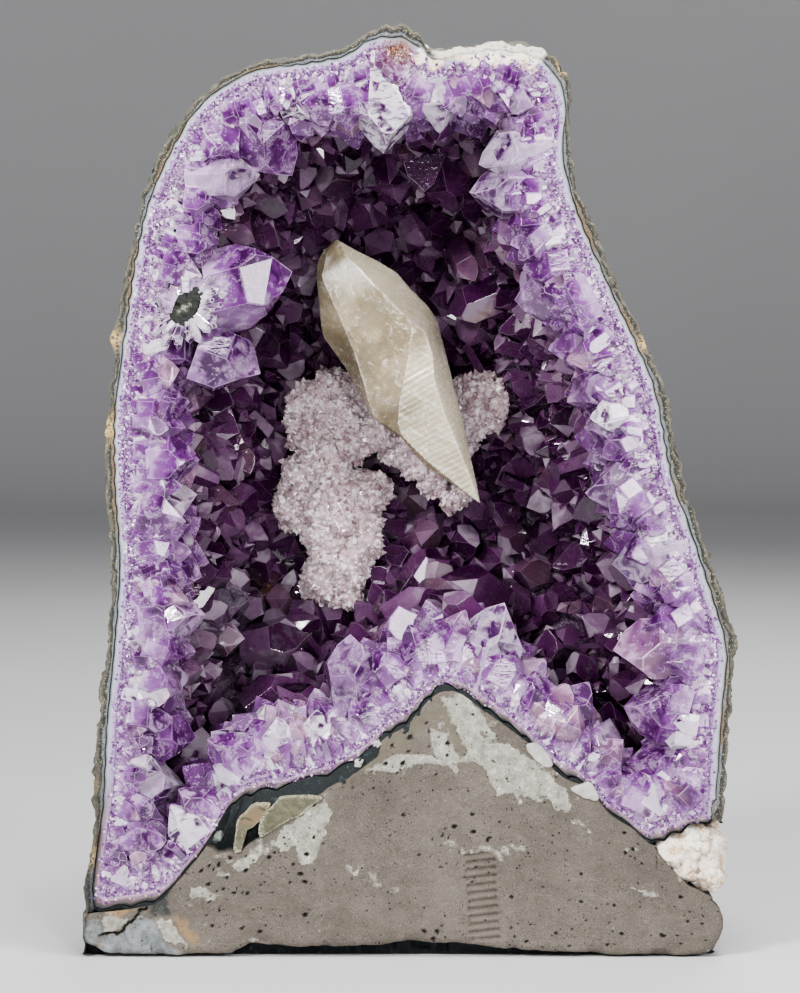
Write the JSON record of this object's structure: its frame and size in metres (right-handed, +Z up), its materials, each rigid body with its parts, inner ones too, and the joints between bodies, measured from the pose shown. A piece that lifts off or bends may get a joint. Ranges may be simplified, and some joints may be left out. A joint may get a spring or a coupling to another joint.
{
  "type": "amethyst cathedral geode with calcite",
  "caption": "Standing half geode on a flat basalt foot: thin rind, agate lining, amethyst points around an open hollow, and a calcite crystal on a white quartz patch.",
  "frame": {"origin": "middle of the flat base under the whole geode", "axes": "+Z up along the height, -Y out of the open side, +X to the right when looking into the hollow"},
  "size_m": [0.2827, 0.178, 0.4018],
  "materials": {
    "basalt": "sawn, dry, fine black pores; the rind is knobbly and weathered",
    "agate": "smooth, waxy, translucent",
    "amethyst": "glassy crystal faces, lilac to deep purple, white at the foot",
    "quartz": "sugary, glittering",
    "calcite": "translucent, glassy faces with fine striations",
    "cream_calcite": "lumpy, dull to pearly",
    "dark_mineral": "rough, dull, green-black",
    "green_stone": "dull olive stone"
  },
  "bodies": {
    "root": {"basalt_rock": "basalt", "agate_lining": "agate", "amethyst_crust": "amethyst", "quartz_patch": "quartz", "calcite_crystal": "calcite", "corner_calcite": "cream_calcite", "dark_eye": "dark_mineral", "olive_slab_long": "green_stone", "olive_slab_short": "green_stone"}
  },
  "joints": []
}
